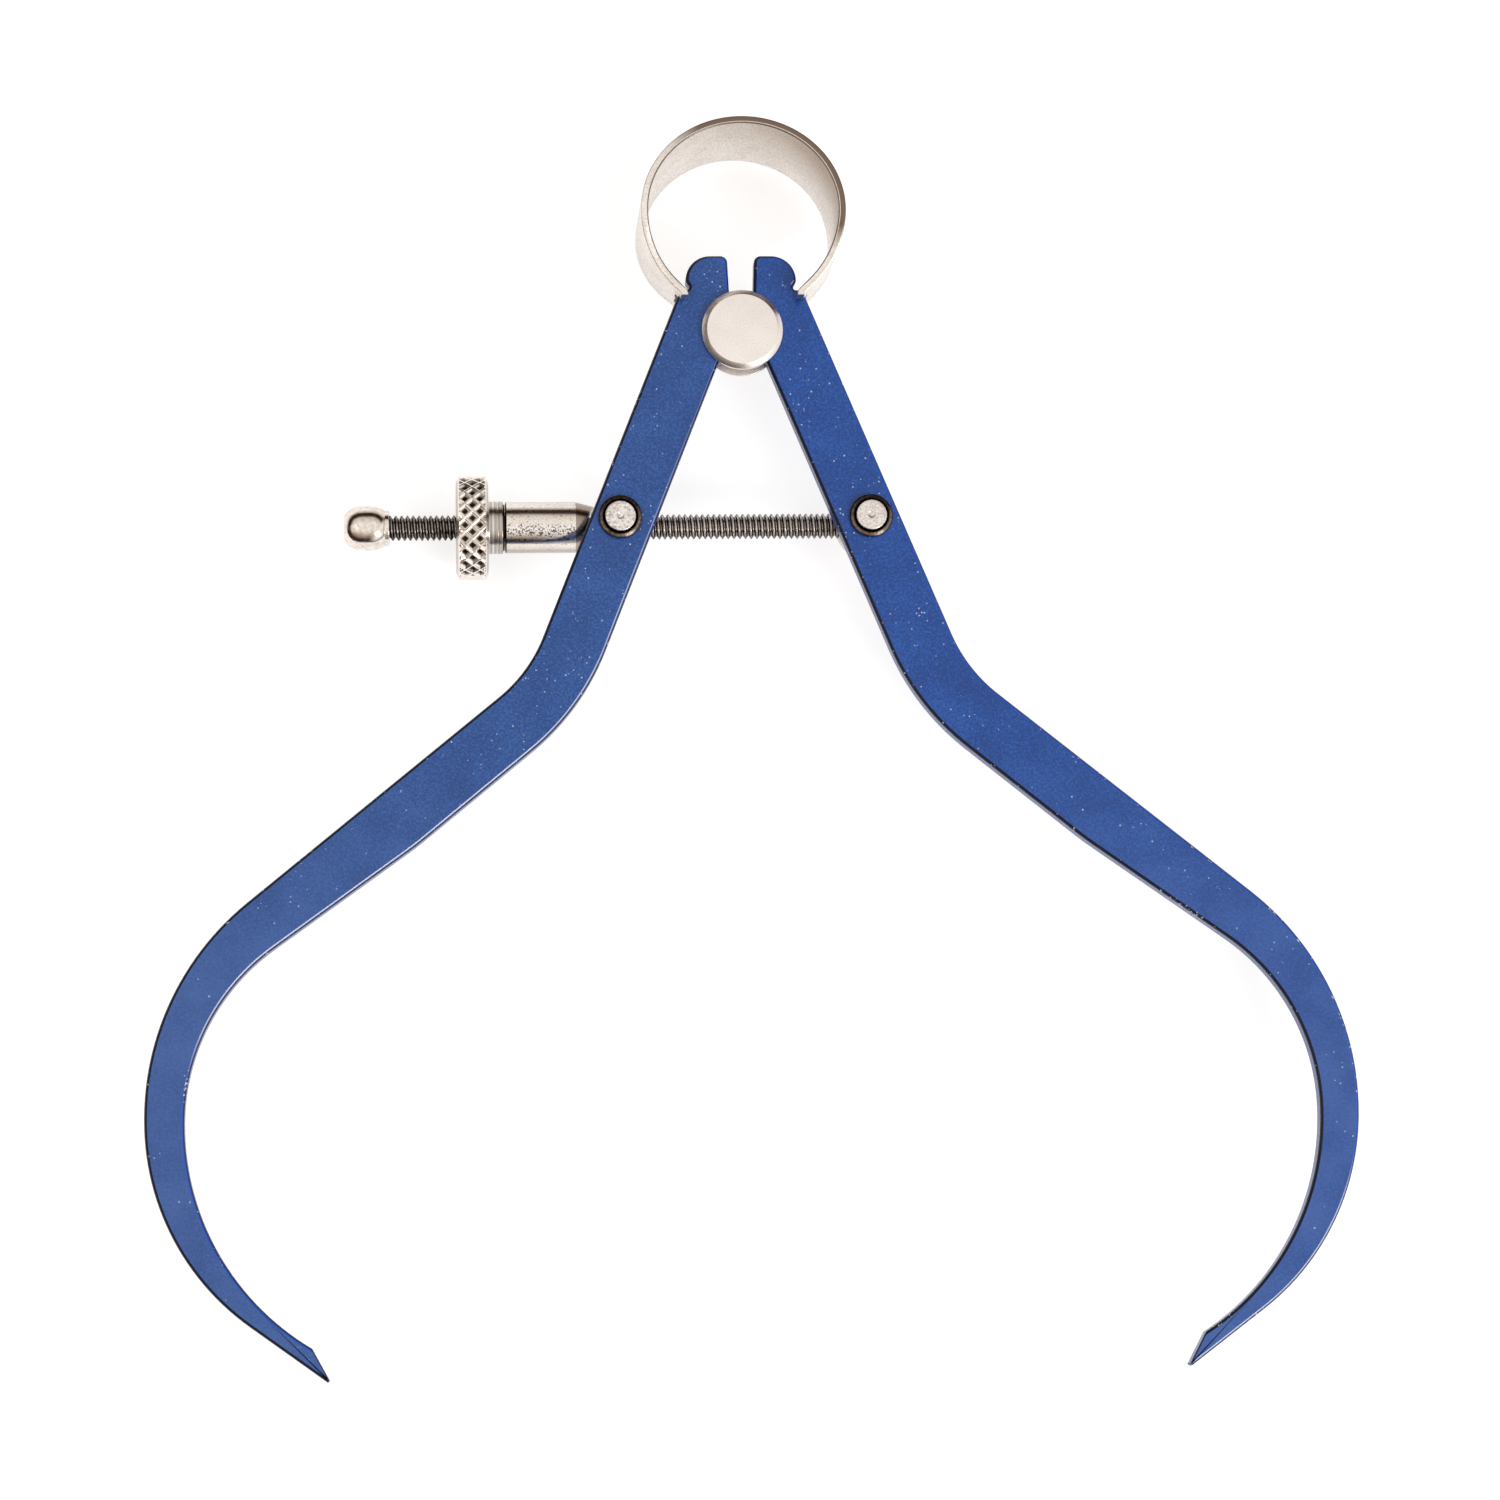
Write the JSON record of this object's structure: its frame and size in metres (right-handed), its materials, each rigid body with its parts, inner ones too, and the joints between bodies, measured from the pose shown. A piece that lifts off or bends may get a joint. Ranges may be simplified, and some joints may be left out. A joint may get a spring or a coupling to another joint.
{
  "type": "outside caliper",
  "caption": "Spring-bow outside caliper: flat bowed legs hinged on a roller, bow spring over their heads, adjusting screw and knurled nut between swivel posts",
  "frame": {"origin": "Centre of the bounding box's base: midway between the legs, midway from the points to the top of the bow, at the height of the nut's lowest edge", "axes": "+X from the left leg to the right leg, along the adjusting screw; +Y from the points to the bow; +Z out of the front face"},
  "size_m": [0.1626, 0.17, 0.0213],
  "materials": {
    "blue_enamel": "hammered blue enamel, semi-gloss, with small chips at the edges",
    "nickel_plate": "warm nickel plate with fine turning marks",
    "spring_nickel": "nickel-plated spring steel, brushed along the strip",
    "dark_steel": "dark oiled steel with worn thread crests"
  },
  "bodies": {
    "head": {"fulcrum_roller": "nickel_plate", "bow_spring": "spring_nickel"},
    "left_leg": {"left_leg": "blue_enamel"},
    "right_leg": {"right_leg": "blue_enamel"},
    "left_swivel": {"left_post": "nickel_plate", "left_post_washer": "nickel_plate", "nut_sleeve": "nickel_plate"},
    "right_swivel": {"right_post": "nickel_plate", "right_post_washer": "nickel_plate", "adjusting_screw": "dark_steel", "screw_ball": "nickel_plate"},
    "nut": {"knurled_nut": "nickel_plate"}
  },
  "joints": [
    {"name": "left_leg_hinge", "type": "hinge", "parent": "head", "child": "left_leg", "pos_m": [0, 0.05675, 0.0123], "axis": [0, 0, -1], "range_deg": [-21.8, 9.5], "deforming": ["bow_spring"]},
    {"name": "right_leg_hinge", "type": "hinge", "parent": "head", "child": "right_leg", "pos_m": [0, 0.05675, 0.0123], "axis": [0, 0, 1], "range_deg": [-21.8, 9.5], "deforming": ["bow_spring"]},
    {"name": "left_post_swivel", "type": "hinge", "parent": "left_leg", "child": "left_swivel", "pos_m": [-0.01713, 0.0307, 0.0123], "axis": [0, 0, 1], "range_deg": [-21.8, 9.5]},
    {"name": "right_post_swivel", "type": "hinge", "parent": "right_leg", "child": "right_swivel", "pos_m": [0.01713, 0.0307, 0.0123], "axis": [0, 0, -1], "range_deg": [-21.8, 9.5]},
    {"name": "nut_spin", "type": "hinge", "parent": "left_swivel", "child": "nut", "pos_m": [-0.0363, 0.0307, 0.0071], "axis": [1, 0, 0], "continuous": true}
  ],
  "couplings": [
    {"joint": "right_leg_hinge", "follows": "left_leg_hinge", "ratio": 1},
    {"joint": "left_post_swivel", "follows": "left_leg_hinge", "ratio": 1},
    {"joint": "right_post_swivel", "follows": "left_leg_hinge", "ratio": 1}
  ]
}
